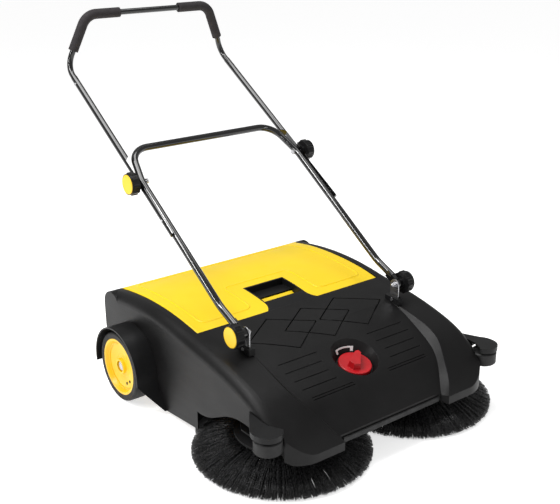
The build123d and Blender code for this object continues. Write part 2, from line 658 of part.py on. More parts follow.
def belt(s):
    """Round belt with a quarter turn, from the wheel's pulley to the brush's pulley."""
    x0 = WHEEL_PULLEY_X
    big, small = WHEEL_PULLEY_PITCH, BRUSH_PULLEY_PITCH
    outer_angle, inner_angle = tangent_angles((BRUSH_X, BRUSH_Y), small, (x0, AXLE_Y))
    top_angle, low_angle = tangent_angles((AXLE_Y, AXLE_Z), big, (BRUSH_Y, BRUSH_PULLEY_Z))

    def on_wheel(angle):
        return x0, AXLE_Y + big * cos(angle), AXLE_Z + big * sin(angle)

    def on_brush(angle):
        return BRUSH_X + small * cos(angle), BRUSH_Y + small * sin(angle), BRUSH_PULLEY_Z

    high, low = on_wheel(top_angle), on_wheel(low_angle)
    outer, inner = on_brush(outer_angle), on_brush(inner_angle)
    paths = [
        Line(high, outer),
        Line(low, inner),
        ThreePointArc(high, on_wheel(0), low),
        ThreePointArc(outer, on_brush(-pi / 2), inner),
    ]
    solid = Pos(*high) * Sphere(BELT_RADIUS + BELT_JOINT)
    for point in (low, outer, inner):
        solid = solid + Pos(*point) * Sphere(BELT_RADIUS + BELT_JOINT)
    for path in paths:
        solid = solid + sweep((path ^ 0) * Circle(BELT_RADIUS), path=path)
    return mirror(solid, about=Plane.YZ) if s < 0 else solid


# ---------------------------------------------------------------- handle
def lower_frame():
    """One bent tube: two legs from the deck and the crossbar between them."""
    angle = atan2(JOINT_Z - PIVOT_Z, JOINT_Y - PIVOT_Y)
    foot = on_lower_line(26)
    y, z = on_lower_line(LEG_BEND_REACH)
    bend = (y + LEG_DROP * sin(angle), z - LEG_DROP * cos(angle))
    rise = atan2(JOINT_Z - bend[1], JOINT_Y - bend[0])
    top = (JOINT_Y + CROSSBAR_REACH * cos(rise), JOINT_Z + CROSSBAR_REACH * sin(rise))
    half = [(LOWER_LEG_X, *foot), (LOWER_LEG_X, *bend), (LOWER_LEG_X, JOINT_Y, JOINT_Z), (CROSSBAR_X, *top)]
    corners = [(-a, b, c) for a, b, c in half] + half[::-1]
    path = FilletPolyline(*corners, radius=[150, 120, 62, 62, 120, 150])
    tube = sweep((path ^ 0) * Circle(LOWER_TUBE_RADIUS), path=path)
    for _, s in SIDES:
        lug = rod_x(13, s * 254, s * 267.2, PIVOT_Y, PIVOT_Z)
        arm = Pos(s * 260, PIVOT_Y, PIVOT_Z) * Rot(degrees(angle) - 6, 0, 0) * block(-6, 6, 0, 44, -10, 10)
        tube = tube + lug + arm
        tube = tube - rod_x(4.1, s * 250, s * 270, PIVOT_Y, PIVOT_Z)
        tube = tube - rod_x(3.0, s * 240, s * 285, JOINT_Y, JOINT_Z)
    return tube


def leg_point(reach):
    """A point on an upper leg's centre line, measured from the upper fold towards the kink."""
    length = hypot(KINK_Y - JOINT_Y, KINK_Z - JOINT_Z)
    t = reach / length
    x = UPPER_LEG_X + (KINK_X - UPPER_LEG_X) * t
    return x, JOINT_Y + t * (KINK_Y - JOINT_Y), JOINT_Z + t * (KINK_Z - JOINT_Z)


def leg_run(low, high):
    """A straight stretch of the right-hand upper leg's centre line."""
    return Line(leg_point(low), leg_point(high))


def pressed_cutter():
    """Everything that is pressed away from a right-hand upper leg beside the lower leg."""
    angle = degrees(atan2(KINK_Z - JOINT_Z, KINK_Y - JOINT_Y))
    low, high = -TAIL_REACH - 5, PRESSED_REACH
    x0, x1 = 200, PRESSED_X
    face = make_face(Polyline((x0, low), (x1, low), (x1, high), (x0, high + x1 - x0), close=True).edges())
    slab = Pos(0, 0, -20) * extrude(face, 40)
    return Pos(0, JOINT_Y, JOINT_Z) * Rot(angle, 0, 0) * slab


def upper_leg(s):
    """Outer tube of the handle: pressed flat beside the lower leg, and round above it."""
    path = leg_run(-TAIL_REACH, 418)
    inner = leg_run(340, 418)
    tube = sweep((path ^ 0) * Circle(UPPER_TUBE_RADIUS), path=path)
    tube = tube - sweep((inner ^ 0) * Circle(UPPER_TUBE_RADIUS - TUBE_WALL), path=inner)
    tube = tube - pressed_cutter() - rod_x(3.0, 250, 290, JOINT_Y, JOINT_Z)
    return mirror(tube, about=Plane.YZ) if s < 0 else tube


def handle_bow():
    """Upper bow of the handle; its ends are pushed into the legs."""
    x0, y0, z0 = leg_point(350)
    side = [(x0, y0, z0), (KINK_X, KINK_Y, KINK_Z), (250, 563, 856), (204, BOW_Y, BOW_Z)]
    points = [(-x, y, z) for x, y, z in side] + [(x, y, z) for x, y, z in reversed(side)]
    path = FilletPolyline(*points, radius=[50, 30, 46, 46, 30, 50])
    tube = sweep((path ^ 0) * Circle(UPPER_TUBE_RADIUS - TUBE_WALL), path=path)
    return tube


def bow_path():
    """Centre line of the bow's gripping stretch on the right-hand side."""
    points = [(246, 561.8, 865.3), (204, BOW_Y, BOW_Z), (100, BOW_Y, BOW_Z)]
    return FilletPolyline(*points, radius=46)


def grip(s):
    """Foam sleeve round one corner of the bow."""
    path = bow_path()
    sleeve = sweep((path ^ 0) * Circle(GRIP_RADIUS), path=path)
    sleeve = sleeve - sweep((path ^ 0) * Circle(UPPER_TUBE_RADIUS - TUBE_WALL + FIT), path=path)
    return mirror(sleeve, about=Plane.YZ) if s < 0 else sleeve


def bow_screws():
    """Small screws: two hold the bow in the legs, two sit near the tails of the legs."""
    screws = []
    for _, s in SIDES:
        for reach in (392, -140):
            x, y, z = leg_point(reach)
            out = UPPER_TUBE_RADIUS - 1.2
            head = Pos(s * (x + out), y, z) * Rot(0, 90, 0) * Cylinder(4.2, 4.0)
            screws.append(head)
    return screws


def upper_bolts():
    """Bolts of the upper fold, through both tubes."""
    bolts = []
    for _, s in SIDES:
        shank = rod_x(2.9, s * 249, s * 287, JOINT_Y, JOINT_Z)
        head = rod_x(7, s * 245.4, s * 249.8, JOINT_Y, JOINT_Z)
        bolts.append(shank + head)
    return bolts


def clamp_knob(s, inner_x, y, z, bore):
    """Round clamp knob with ten finger lobes on its edge."""
    lobes = 10
    solid = rod_x(KNOB_RADIUS - 1.5, 0, KNOB_THICK - 8, 0, 0)
    hub = rod_x(13, -5, 0, 0, 0)
    for i in range(lobes):
        a = 2 * pi * i / lobes
        reach = KNOB_RADIUS - 4
        solid = solid + rod_x(5.0, 0.6, KNOB_THICK - 8.6, reach * cos(a), reach * sin(a))
    solid = solid + hub + rod_x(KNOB_RADIUS - 2, KNOB_THICK - 9, KNOB_THICK - 3, 0, 0)
    solid = solid - rod_x(KNOB_RADIUS - 4, KNOB_THICK - 6, KNOB_THICK + 2, 0, 0)
    solid = solid - rod_x(bore, -10, KNOB_THICK - 10, 0, 0)
    solid = Pos(inner_x, y, z) * solid
    return mirror(solid, about=Plane.YZ) if s < 0 else solid


def knob_cap(s, inner_x, y, z):
    """Yellow cap pressed into a clamp knob."""
    r = KNOB_RADIUS - 4
    disc = rod_x(r, KNOB_THICK - 6, KNOB_THICK - 1.5, 0, 0)
    disc = fillet(disc.edges().sort_by(Axis.X)[-1], 1.5)
    disc = Pos(inner_x, y, z) * disc
    return mirror(disc, about=Plane.YZ) if s < 0 else disc


# ---------------------------------------------------------------- height dial and front castor
def dial_knob():
    """Red dial with an arrow-shaped finger ridge and a screw shaft below."""
    disc = Pos(0, 0, 5) * Cylinder(DIAL_RADIUS, 9)
    disc = fillet(disc.edges().sort_by(Axis.Z)[-1], 2.5)
    outline = [(-17, -22), (0, -31), (17, -22), (10, 28), (0, 36), (-10, 28)]
    arrow = make_face(Polyline(*outline, close=True).edges())
    ridge = Pos(0, 0, 9) * Rot(0, 0, -RIDGE_TURN) * extrude(arrow, 17, taper=9)
    stem = Pos(0, 0, -22) * Cylinder(STEM_RADIUS, 46)
    return dial_frame() * (disc + ridge + stem)


def dial_plate():
    """Thin scale on the rear wall of the dish: a generic bow with a mark at each end."""
    out = DIAL_DISH_RADIUS

    def strip(low, high, start, sweep_angle):
        """A thin patch of the cone's wall between two heights."""
        a = (out + DIAL_DISH_FLARE * low - 0.05, low)
        b = (out + DIAL_DISH_FLARE * high - 0.05, high)
        corners = [a, b, (b[0] - 0.7, b[1] + 0.2), (a[0] - 0.7, a[1] + 0.2)]
        face = Plane.XZ * make_face(Polyline(*corners, close=True).edges())
        return Rot(0, 0, start) * revolve(face, Axis.Z, sweep_angle)

    bow = strip(14, 17.5, 60, 50)
    marks = strip(7, 17.4, 56, 8) + strip(7, 17.4, 106, 8)
    return dial_frame() * (bow + marks)


def castor_fork():
    """Carrier of the front castor: a sleeve on the dial's screw, an arm and two cheeks."""
    sleeve = Pos(0, 0, -31) * Cylinder(STEM_RADIUS + 6, 30)
    bore = Pos(0, 0, -31) * Cylinder(STEM_RADIUS + FIT, 60)
    arm = block(-11, 11, DIAL_Y + 6, CASTOR_Y + 10, 126, 132)
    post = block(-8, 8, CASTOR_Y - 8, CASTOR_Y + 10, 64, 132)
    fork = block(-20, 20, CASTOR_Y - 12, CASTOR_Y + 12, 60, 66)
    for x in (-20, 16):
        fork = fork + block(x, x + 4, CASTOR_Y - 10, CASTOR_Y + 10, 20, 62)
    solid = dial_frame() * sleeve + arm + post + fork
    return solid - dial_frame() * bore - rod_x(3.0, -30, 30, CASTOR_Y, CASTOR_RADIUS)


def castor_pin():
    """Axle pin of the castor wheel."""
    return rod_x(3.0, -22, 22, CASTOR_Y, CASTOR_RADIUS)


def castor_wheel():
    """Small wheel that carries the front of the machine."""
    tread = rod_x(CASTOR_RADIUS, -14, 14, CASTOR_Y, CASTOR_RADIUS)
    tread = fillet(tread.edges(), 3)
    return tread - rod_x(3.0 + FIT, -20, 20, CASTOR_Y, CASTOR_RADIUS)


# ---------------------------------------------------------------- write every node
def build():
    """Make all pieces and write one STEP file per node."""
    os.makedirs("parts", exist_ok=True)
    save("housing", housing())
    save("base_plate", base_plate())
    save("housing_screws", *housing_screws())
    save("front_lip", front_lip())
    save("guide_pins", *guide_pins())
    save("brackets", *brackets())
    save("bracket_sockets", *bracket_sockets())
    save("socket_bolts", *socket_bolts())
    save("pivot_bolts", *pivot_bolts())
    save("container_lid", container_lid())
    save("grip_insert", grip_insert())
    save("container_tub", container_tub())
    save("tub_lip", tub_lip())
    save("stub_axles", *stub_axles())
    save("axle_nuts", *axle_nuts())
    save("brush_bushes", *brush_bushes())
    save("lower_frame", lower_frame())
    save("handle_bow", handle_bow())
    save("bow_screws", *bow_screws())
    save("upper_bolts", *upper_bolts())
    save("dial_knob", dial_knob())
    save("dial_plate", dial_plate())
    save("castor_fork", castor_fork())
    save("castor_pin", castor_pin())
    save("castor_wheel", castor_wheel())
    for side, s in SIDES:
        save(f"fender_{side}", fender(s))
        save(f"guide_cover_{side}", guide_cover(s))
        save(f"guide_roller_{side}", guide_roller(s))
        save(f"tyre_{side}", tyre(s))
        save(f"rim_{side}", rim(s))
        save(f"wheel_pulley_{side}", wheel_pulley(s))
        save(f"bristles_{side}", bristles(s))
        save(f"brush_plate_{side}", brush_plate(s))
        save(f"brush_spindle_{side}", brush_spindle(s))
        save(f"brush_pulley_{side}", brush_pulley(s))
        save(f"belt_{side}", belt(s))
        save(f"upper_leg_{side}", upper_leg(s))
        save(f"grip_{side}", grip(s))
        save(f"lower_knob_{side}", clamp_knob(s, LOWER_KNOB_X, PIVOT_Y, PIVOT_Z, 4.05))
        save(f"lower_knob_cap_{side}", knob_cap(s, LOWER_KNOB_X, PIVOT_Y, PIVOT_Z))
        save(f"upper_knob_{side}", clamp_knob(s, UPPER_KNOB_X, JOINT_Y, JOINT_Z, 2.95))
        save(f"upper_knob_cap_{side}", knob_cap(s, UPPER_KNOB_X, JOINT_Y, JOINT_Z))


build()
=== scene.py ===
"""Walk behind sweeper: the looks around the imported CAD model. Metres, in the frame's own axes."""
import math
import random

import bmesh
import bpy
from mathutils import Matrix, Vector


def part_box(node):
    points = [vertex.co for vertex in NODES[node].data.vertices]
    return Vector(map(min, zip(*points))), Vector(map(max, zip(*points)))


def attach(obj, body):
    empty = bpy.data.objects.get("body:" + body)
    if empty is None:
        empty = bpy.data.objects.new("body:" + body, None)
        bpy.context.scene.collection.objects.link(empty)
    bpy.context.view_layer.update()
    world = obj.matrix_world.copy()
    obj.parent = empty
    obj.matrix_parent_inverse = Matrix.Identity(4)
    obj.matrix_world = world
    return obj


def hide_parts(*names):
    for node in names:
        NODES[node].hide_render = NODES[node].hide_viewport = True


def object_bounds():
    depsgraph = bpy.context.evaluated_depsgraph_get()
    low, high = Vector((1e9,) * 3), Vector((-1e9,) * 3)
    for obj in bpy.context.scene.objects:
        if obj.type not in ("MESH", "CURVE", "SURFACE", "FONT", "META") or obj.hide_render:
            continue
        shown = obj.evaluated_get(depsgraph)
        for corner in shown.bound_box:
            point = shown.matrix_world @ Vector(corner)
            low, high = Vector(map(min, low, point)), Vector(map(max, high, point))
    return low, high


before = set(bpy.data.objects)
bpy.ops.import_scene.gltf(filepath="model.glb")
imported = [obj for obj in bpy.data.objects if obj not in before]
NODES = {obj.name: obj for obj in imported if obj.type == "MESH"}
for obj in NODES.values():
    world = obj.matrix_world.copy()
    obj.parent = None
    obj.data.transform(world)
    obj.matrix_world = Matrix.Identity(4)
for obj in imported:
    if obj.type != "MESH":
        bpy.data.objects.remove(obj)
cad_low, cad_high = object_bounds()
SIDES = (("left", -1), ("right", 1))
MM = 0.001
DISC_EXTRA_REACH = 9.5 * MM     # how far the loose tufts reach past the CAD ring
SKIRT_GAP = 13 * MM             # from the CAD ring to the rubber skirt, a dark strip that is partly painted shade


# ---------------------------------------------------------------- shader helpers
class Shader:
    """One node material, with short calls for the nodes that it needs."""

    def __init__(self, name, colour, roughness, metallic=0.0):
        self.material = bpy.data.materials.new(name)
        self.material.use_nodes = True
        self.tree = self.material.node_tree
        self.surface = self.tree.nodes["Principled BSDF"]
        self.surface.inputs["Base Color"].default_value = (*colour, 1)
        self.surface.inputs["Roughness"].default_value = roughness
        self.surface.inputs["Metallic"].default_value = metallic
        self.place = self.add("ShaderNodeTexCoord").outputs["Object"]
        self.normal = None
        self.material.diffuse_color = (*colour, 1)

    def add(self, kind, **values):
        node = self.tree.nodes.new(kind)
        for key, value in values.items():
            if hasattr(node, key):
                setattr(node, key, value)
            else:
                node.inputs[key].default_value = value
        return node

    def link(self, source, target):
        self.tree.links.new(source, target)

    def stretched(self, x, y, z):
        """The object's coordinates, scaled apart along the axes."""
        mapping = self.add("ShaderNodeMapping")
        mapping.inputs["Scale"].default_value = (x, y, z)
        self.link(self.place, mapping.inputs["Vector"])
        return mapping.outputs["Vector"]

    def noise(self, scale, detail=3.0, roughness=0.55, at=None, distortion=0.0):
        node = self.add("ShaderNodeTexNoise", Scale=scale, Detail=detail, Roughness=roughness)
        node.inputs["Distortion"].default_value = distortion
        self.link(at or self.place, node.inputs["Vector"])
        return node.outputs["Fac"]

    def cells(self, scale):
        node = self.add("ShaderNodeTexVoronoi", Scale=scale)
        self.link(self.place, node.inputs["Vector"])
        return node.outputs["Distance"]

    def spread(self, value, low, high, out_low=0.0, out_high=1.0):
        node = self.add("ShaderNodeMapRange")
        limits = {"From Min": low, "From Max": high, "To Min": out_low, "To Max": out_high}
        for key, number in limits.items():
            node.inputs[key].default_value = number
        self.link(value, node.inputs["Value"])
        return node.outputs["Result"]

    def product(self, a, b):
        node = self.add("ShaderNodeMath", operation="MULTIPLY")
        for socket, value in zip(node.inputs, (a, b)):
            if isinstance(value, (int, float)):
                socket.default_value = value
            else:
                self.link(value, socket)
        return node.outputs[0]

    def total(self, a, b):
        node = self.add("ShaderNodeMath", operation="ADD")
        self.link(a, node.inputs[0])
        self.link(b, node.inputs[1])
        return node.outputs[0]

    def mixed(self, factor, first, second):
        """A colour between two, each a colour or a socket."""
        node = self.add("ShaderNodeMix", data_type="RGBA")
        self.link(factor, node.inputs["Factor"])
        for socket, value in zip((node.inputs[6], node.inputs[7]), (first, second)):
            if isinstance(value, tuple):
                socket.default_value = (*value, 1)
            else:
                self.link(value, socket)
        return node.outputs[2]

    def colour(self, socket):
        self.link(socket, self.surface.inputs["Base Color"])

    def rough(self, value, low, high):
        self.link(self.spread(value, 0.3, 0.7, low, high), self.surface.inputs["Roughness"])

    def rounded(self, radius):
        """Soft edges, as moulded and cut parts have."""
        bevel = self.add("ShaderNodeBevel", samples=6)
        bevel.inputs["Radius"].default_value = radius
        self.normal = bevel.outputs["Normal"]

    def edges(self):
        """1 along the rounded edges and 0 on the faces between them."""
        geometry = self.add("ShaderNodeNewGeometry")
        dot = self.add("ShaderNodeVectorMath", operation="DOT_PRODUCT")
        self.link(self.normal, dot.inputs[0])
        self.link(geometry.outputs["Normal"], dot.inputs[1])
        return self.spread(dot.outputs["Value"], 0.995, 0.93)

    def bump(self, height, depth, strength=1.0):
        node = self.add("ShaderNodeBump")
        node.inputs["Strength"].default_value = strength
        node.inputs["Distance"].default_value = depth
        self.link(height, node.inputs["Height"])
        if self.normal:
            self.link(self.normal, node.inputs["Normal"])
        self.normal = node.outputs["Normal"]

    def done(self, **sockets):
        """Set plain values on the shader and connect the normal."""
        for key, value in sockets.items():
            self.surface.inputs[key.replace("_", " ")].default_value = value
        if self.normal:
            self.link(self.normal, self.surface.inputs["Normal"])
        return self.material


def paint(material, *names):
    """Give a material to CAD nodes."""
    for name in names:
        mesh = NODES[name].data
        mesh.materials.clear()
        mesh.materials.append(material)


# ---------------------------------------------------------------- materials
def moulded_black(name, colour, roughness, edge=1.2 * MM):
    """Satin black plastic with a fine moulded grain, faint scuffs and paler edges that are partly worn
    and partly a painted highlight.
    """
    s = Shader(name, colour, roughness)
    s.rounded(edge)
    # paler along the rounded edges: partly worn plastic, partly a painted highlight where the edges
    # catch the light
    wear_and_highlight = s.product(s.edges(), s.spread(s.noise(60, 4), 0.45, 0.7))
    cloud = s.noise(7, 4)
    pale = tuple(c * 1.45 + 0.001 for c in colour)
    # the edge colour: partly worn plastic, partly a painted highlight
    worn = tuple(c * 3.0 + 0.008 for c in colour)
    s.colour(s.mixed(wear_and_highlight, s.mixed(s.spread(cloud, 0.35, 0.7), colour, pale), worn))
    scuff = s.noise(36, 5, at=s.stretched(1, 0.25, 1))
    s.rough(s.product(s.total(cloud, scuff), 0.5), roughness - 0.06, roughness + 0.09)
    s.bump(s.noise(1500, 2), 0.05 * MM)
    s.bump(s.noise(22, 2), 0.0004, 0.25)
    return s.done(Specular_IOR_Level=0.2)


def moulded_yellow(name, colour, deep, roughness):
    """Satin yellow plastic: a very fine grain, soft colour drift and faint scratches."""
    s = Shader(name, colour, roughness)
    s.rounded(1.4 * MM)
    drift = s.spread(s.noise(4, 3), 0.35, 0.7)
    base = s.mixed(drift, colour, deep)
    scratch = s.spread(s.noise(90, 6, at=s.stretched(0.12, 1, 1), distortion=0.4), 0.62, 0.72)
    dusty = tuple(min(1.0, c * 0.9 + 0.05) for c in colour)
    s.colour(s.mixed(s.product(scratch, 0.22), base, dusty))
    s.rough(s.noise(14, 4), roughness - 0.05, roughness + 0.07)
    s.bump(s.noise(1700, 2), 0.00003)
    s.bump(s.noise(12, 2), 0.0006, 0.2)
    return s.done()


def gloss_tube():
    """Powder coated steel tube, gloss black, with a slight orange peel."""
    s = Shader("gloss_black_tube", (0.003, 0.003, 0.0033), 0.14)
    speck = s.spread(s.noise(260, 4), 0.66, 0.72)
    s.colour(s.mixed(speck, (0.003, 0.003, 0.0033), (0.014, 0.014, 0.015)))
    s.rough(s.noise(30, 4), 0.07, 0.15)
    s.bump(s.noise(320, 2), 0.00004)
    return s.done(Coat_Weight=0.9, Coat_Roughness=0.06, Specular_IOR_Level=0.3)


def foam():
    """Closed-cell foam sleeve: fine pores and a matt, slightly mottled skin."""
    s = Shader("grip_foam", (0.022, 0.019, 0.02), 0.8)
    pores = s.cells(900)
    s.colour(s.mixed(s.spread(s.total(pores, s.noise(60, 3)), 0.5, 1.2), (0.012, 0.0105, 0.011),
                     (0.03, 0.026, 0.028)))
    s.rough(s.noise(50, 3), 0.68, 0.85)
    s.bump(pores, 0.00035, 0.7)
    s.bump(s.noise(45, 3), 0.0008, 0.3)
    return s.done(Specular_IOR_Level=0.3)


def zinc_steel():
    """Zinc plated steel with short brushed scratches."""
    s = Shader("zinc_steel", (0.5, 0.5, 0.51), 0.32, 1.0)
    s.rounded(0.5 * MM)
    brushed = s.noise(400, 4, at=s.stretched(1, 0.06, 0.4))
    s.colour(s.mixed(s.noise(120, 4), (0.38, 0.38, 0.39), (0.62, 0.62, 0.63)))
    s.rough(brushed, 0.24, 0.42)
    s.bump(brushed, 0.00004, 0.6)
    return s.done()


def tyre_rubber():
    """Matt black rubber with a dusty tread."""
    s = Shader("tyre_rubber", (0.009, 0.009, 0.0092), 0.62)
    s.rounded(1.5 * MM)
    dust = s.spread(s.noise(28, 5), 0.48, 0.75)
    s.colour(s.mixed(dust, (0.0075, 0.0074, 0.0076), (0.026, 0.025, 0.024)))
    s.rough(s.noise(40, 4), 0.52, 0.7)
    s.bump(s.noise(700, 3), 0.00015, 0.7)
    return s.done(Specular_IOR_Level=0.3)


def soft_rubber():
    """Plain black rubber of the rollers and strips."""
    s = Shader("soft_rubber", (0.008, 0.008, 0.0083), 0.55)
    s.rounded(1.2 * MM)
    dust = s.spread(s.noise(30, 4), 0.4, 0.75)
    s.colour(s.mixed(dust, (0.0065, 0.0065, 0.0068), (0.018, 0.0176, 0.0176)))
    s.rough(s.noise(50, 4), 0.45, 0.62)
    s.bump(s.noise(900, 2), 0.00008)
    return s.done(Specular_IOR_Level=0.3)


def bristle_fibre():
    """Stiff black plastic fibres: each strand has its own shade and a dull shine."""
    s = Shader("bristle_fibre", (0.008, 0.008, 0.0083), 0.36)
    tone = s.noise(220, 2, at=s.stretched(1, 1, 0.2))
    s.colour(s.mixed(s.spread(tone, 0.35, 0.7), (0.002, 0.002, 0.0021), (0.04, 0.04, 0.041)))
    s.rough(s.noise(150, 2), 0.2, 0.4)
    return s.done(Specular_IOR_Level=0.4)


def red_plastic():
    """Glossy red moulding with a fine grain."""
    s = Shader("red_plastic", (0.5, 0.002, 0.008), 0.4)
    s.rounded(1.2 * MM)
    s.colour(s.mixed(s.spread(s.noise(25, 4), 0.35, 0.7), (0.56, 0.002, 0.009), (0.42, 0.0015, 0.006)))
    s.rough(s.noise(40, 4), 0.34, 0.48)
    s.bump(s.noise(1400, 2), 0.00003)
    return s.done()


def belt_rubber():
    """Brown polyurethane belt."""
    s = Shader("belt_rubber", (0.16, 0.08, 0.035), 0.5)
    s.colour(s.mixed(s.noise(80, 4), (0.12, 0.06, 0.028), (0.2, 0.1, 0.045)))
    s.rough(s.noise(60, 4), 0.42, 0.6)
    s.bump(s.noise(500, 2), 0.0001)
    return s.done()


def white_print():
    """Printed white mark, a little worn."""
    s = Shader("white_print", (0.8, 0.8, 0.8), 0.5)
    s.colour(s.mixed(s.spread(s.noise(300, 4), 0.6, 0.75), (0.82, 0.82, 0.82), (0.45, 0.45, 0.45)))
    s.rough(s.noise(80, 4), 0.42, 0.6)
    s.bump(s.noise(900, 2), 0.00003)
    return s.done()


# ---------------------------------------------------------------- CAD nodes
HOUSING_BLACK = moulded_black("housing_black", (0.0048, 0.0046, 0.0047), 0.4)
COVER_BLACK = moulded_black("cover_black", (0.0065, 0.0065, 0.0068), 0.38)
INNER_BLACK = moulded_black("inner_black", (0.014, 0.014, 0.0145), 0.5)
KNOB_BLACK = moulded_black("knob_black", (0.006, 0.006, 0.0063), 0.3, edge=1.5 * MM)
LID_YELLOW = moulded_yellow("lid_yellow", (0.96, 0.68, 0.004), (0.94, 0.62, 0.003), 0.38)
RIM_YELLOW = moulded_yellow("rim_yellow", (0.93, 0.6, 0.003), (0.86, 0.5, 0.002), 0.35)
TUBE = gloss_tube()
STEEL = zinc_steel()
TYRE = tyre_rubber()
RUBBER = soft_rubber()
FIBRE = bristle_fibre()


def both(*stems):
    return [f"{stem}_{side}" for stem in stems for side, _ in SIDES]


paint(HOUSING_BLACK, "housing")
paint(COVER_BLACK, "bracket_sockets", "grip_insert", *both("fender", "guide_cover"))
paint(INNER_BLACK, "base_plate", "brush_bushes", "castor_fork", "castor_wheel",
      *both("brush_plate", "brush_pulley", "wheel_pulley"))
paint(KNOB_BLACK, *both("lower_knob", "upper_knob"))
paint(LID_YELLOW, "container_lid", "container_tub")
paint(RIM_YELLOW, *both("rim", "lower_knob_cap", "upper_knob_cap"))
paint(TUBE, "lower_frame", "handle_bow", *both("upper_leg"))
paint(foam(), *both("grip"))
paint(STEEL, "brackets", "socket_bolts", "pivot_bolts", "stub_axles", "axle_nuts", "housing_screws",
      "bow_screws", "upper_bolts", "castor_pin", "guide_pins", *both("brush_spindle"))
paint(TYRE, *both("tyre"))
paint(RUBBER, "front_lip", "tub_lip", *both("guide_roller"))
paint(red_plastic(), "dial_knob")
paint(belt_rubber(), *both("belt"))
paint(white_print(), "dial_plate")


# ---------------------------------------------------------------- pieces
def add_piece(name, bm, material, body, smooth=True):
    """Turn a finished mesh into a piece that rides on a body."""
    mesh = bpy.data.meshes.new(name)
    bm.to_mesh(mesh)
    bm.free()
    piece = bpy.data.objects.new(name, mesh)
    bpy.context.scene.collection.objects.link(piece)
    mesh.materials.append(material)
    if smooth:
        mesh.polygons.foreach_set("use_smooth", [True] * len(mesh.polygons))
    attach(piece, body)
    return piece


def join_rings(bm, rings, endless=False):
    """Faces between neighbouring rings of vertices; each ring is closed in itself."""
    following = rings[1:] + rings[:1] if endless else rings[1:]
    for a, b in zip(rings, following):
        for k in range(len(a)):
            j = (k + 1) % len(a)
            bm.faces.new((a[k], a[j], b[j], b[k]))


def cap_ends(bm, rings):
    """Close a row of rings at both ends."""
    bm.faces.new(rings[0])
    bm.faces.new(rings[-1])


def point_outwards(bm):
    bmesh.ops.recalc_face_normals(bm, faces=bm.faces)


STRAND_SIDES = 3
STRAND_STEPS = 4
STRAND_RADIUS = 1.05 * MM
STRAND_DROOP = 20 * MM          # sag of a strand whose droop is 1
TUFT_RINGS = (         # radius of the root, roots per ring, reach, tip height, droop
    (92 * MM, 60, 204 * MM, 1.5 * MM, 0.75),
    (98 * MM, 66, 214 * MM, 3.0 * MM, 0.66),
    (104 * MM, 72, 220.5 * MM, 7.0 * MM, 0.56),
    (111 * MM, 78, 222 * MM, 14.0 * MM, 0.46),
)
STRANDS_PER_TUFT = 20
TUFT_FAN = 0.036                # spread of a tuft's tips, in radians
LOWEST_TIP = 1.2 * MM
OUTER_ROOT = 114 * MM           # edge of the brush plate


def strand(bm, root, tip, droop):
    """One curved fibre from root to tip as a thin tapered tube."""
    flat = Vector((tip.x - root.x, tip.y - root.y, 0)).normalized()
    side = flat.cross(Vector((0, 0, 1)))
    middle = root.lerp(tip, 0.5) + Vector((0, 0, droop))
    rings = []
    for i in range(STRAND_STEPS + 1):
        t = i / STRAND_STEPS
        point = root * (1 - t) ** 2 + middle * 2 * t * (1 - t) + tip * t * t
        thick = STRAND_RADIUS * (1.0 - 0.35 * t)
        ring = []
        for k in range(STRAND_SIDES):
            angle = 2 * math.pi * k / STRAND_SIDES + 0.5
            ring.append(bm.verts.new(point + side * thick * math.cos(angle)
                                     + Vector((0, 0, thick * math.sin(angle)))))
        rings.append(ring)
    join_rings(bm, rings)
    bm.faces.new(rings[-1])
    bm.faces.new(list(reversed(rings[0])))


def bristle_disc(side):
    """A dense ring of separate fibres in tufts, flared outwards and down to the floor."""
    random.seed(11 if side == "left" else 12)
    low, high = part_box(f"bristles_{side}")
    centre = (low + high) / 2
    top = high.z
    reach_limit = (high.x - low.x) / 2 + DISC_EXTRA_REACH
    bm = bmesh.new()
    for ring, (root_radius, count, reach, tip_height, droop) in enumerate(TUFT_RINGS):
        for i in range(count):
            heading = 2 * math.pi * (i + 0.5 * (ring % 2)) / count + random.uniform(-0.01, 0.01)
            for _ in range(STRANDS_PER_TUFT):
                out = min(reach + random.uniform(-2.5, 2.5) * MM, reach_limit)
                fan = heading + random.gauss(0, TUFT_FAN)
                start = heading + random.uniform(-0.03, 0.03)
                r = root_radius + random.uniform(-3, 3) * MM
                root = Vector((centre.x + r * math.cos(start), centre.y + r * math.sin(start),
                               top - 1.5 * MM - (OUTER_ROOT - root_radius) * 0.45))
                z = max(LOWEST_TIP, tip_height + random.uniform(-3, 4) * MM)
                tip = Vector((centre.x + out * math.cos(fan), centre.y + out * math.sin(fan), z))
                strand(bm, root, tip, droop * STRAND_DROOP + random.uniform(-2, 3) * MM)
    piece = add_piece(f"bristle_tufts_{side}", bm, FIBRE, f"brush_{side}")
    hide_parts(f"bristles_{side}")


for side, _ in SIDES:
    bristle_disc(side)


# ---------------------------------------------------------------- lines on the lid
def drop_onto(name, x, y):
    """Where a vertical line from above first meets a CAD node, with the surface normal there."""
    node = NODES[name]
    back = node.matrix_world.inverted()
    hit, place, normal, _ = node.ray_cast(back @ Vector((x, y, 2)), back.to_3x3() @ Vector((0, 0, -1)))
    if not hit:
        raise ValueError(f"nothing under {x}, {y} on {name}")
    return node.matrix_world @ place, (node.matrix_world.to_3x3() @ normal).normalized()


def straight_points(start, end):
    """Evenly spaced points between two ends, without the ends."""
    run = end - start
    steps = max(1, int(run.length / PATH_SPACING))
    return [start + run * k / steps for k in range(1, steps)]


def rounded_path(corners, radius):
    """Evenly spaced points along a closed outline whose corners are rounded."""
    points = []
    for i, corner in enumerate(corners):
        here = Vector(corner)
        first = here + (Vector(corners[i - 1]) - here).normalized() * radius
        last = here + (Vector(corners[(i + 1) % len(corners)]) - here).normalized() * radius
        if points:
            points.extend(straight_points(points[-1], first))
        for k in range(CORNER_STEPS + 1):
            t = k / CORNER_STEPS
            points.append(first * (1 - t) ** 2 + here * 2 * t * (1 - t) + last * t * t)
    points.extend(straight_points(points[-1], points[0]))
    return points


